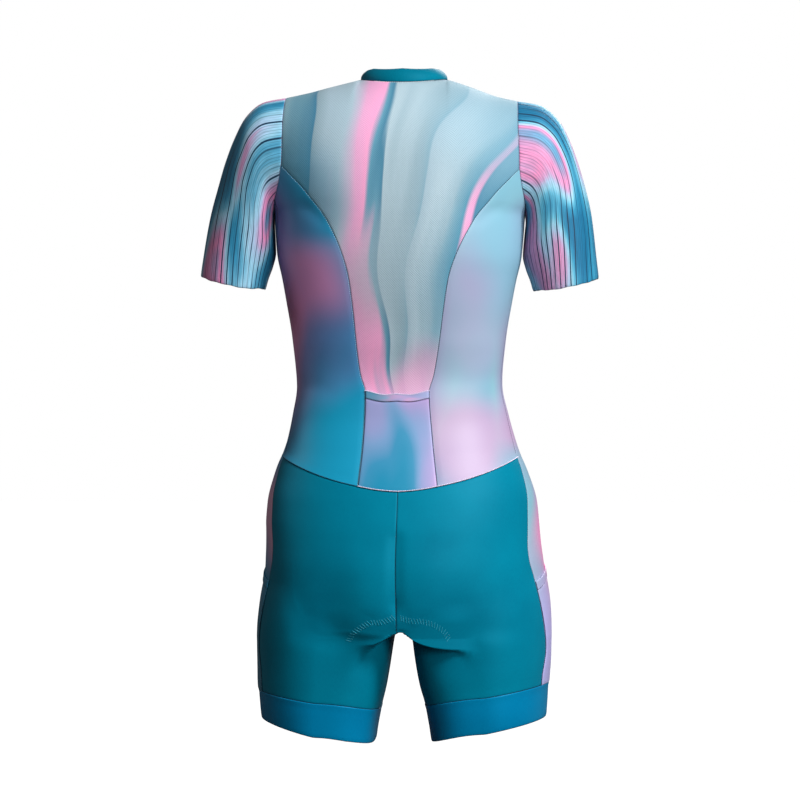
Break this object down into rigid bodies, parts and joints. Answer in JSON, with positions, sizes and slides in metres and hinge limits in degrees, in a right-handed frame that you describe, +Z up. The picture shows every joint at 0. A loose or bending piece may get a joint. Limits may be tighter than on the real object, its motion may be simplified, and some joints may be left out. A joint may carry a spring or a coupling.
{
  "type": "triathlon suit",
  "caption": "Close-fitting short-sleeved one-piece suit for triathlon with a stand collar, front zip, back and thigh pockets, and banded short legs, in its worn form.",
  "frame": {"origin": "between the shoulders at the base of the neck, level with the neck ends of the shoulder seams", "axes": "+Z up, the front faces -Y, the wearer's left is +X"},
  "size_m": [0.462, 0.2438, 0.7857],
  "materials": {
    "collar": "matt stretch knit",
    "knit": "fine dotted mesh knit",
    "side_cloth": "smooth stretch knit, soft sheen",
    "shorts": "smooth stretch knit, soft sheen",
    "band": "smooth elastic, slight gloss",
    "sleeve": "fine lengthwise rib",
    "pocket": "smooth stretch knit",
    "binding": "folded elastic tape",
    "zip_tape": "moulded coil on woven tape",
    "metal": "painted die casting, satin"
  },
  "bodies": {
    "suit": {"collar": "collar", "back_centre": "knit", "back_side_left": "side_cloth", "back_side_right": "side_cloth", "front_left": "knit", "front_right": "knit", "side_left": "side_cloth", "side_right": "side_cloth", "leg_back_left": "shorts", "leg_back_right": "shorts", "leg_front_left": "shorts", "leg_front_right": "shorts", "leg_band_left": "band", "leg_band_right": "band", "sleeve_left": "sleeve", "sleeve_right": "sleeve", "back_pocket": "pocket", "back_pocket_binding": "binding", "side_pocket_left": "side_cloth", "side_pocket_right": "side_cloth", "side_pocket_binding_left": "binding", "side_pocket_binding_right": "binding", "zip": "zip_tape", "zip_slider": "metal"},
    "zip_pull": {"zip_pull": "metal"}
  },
  "joints": [
    {"name": "zip_pull_swing", "type": "hinge", "parent": "suit", "child": "zip_pull", "pos_m": [0, -0.059, -0.0264], "axis": [-1, 0, 0], "range_deg": [0, 150]}
  ]
}
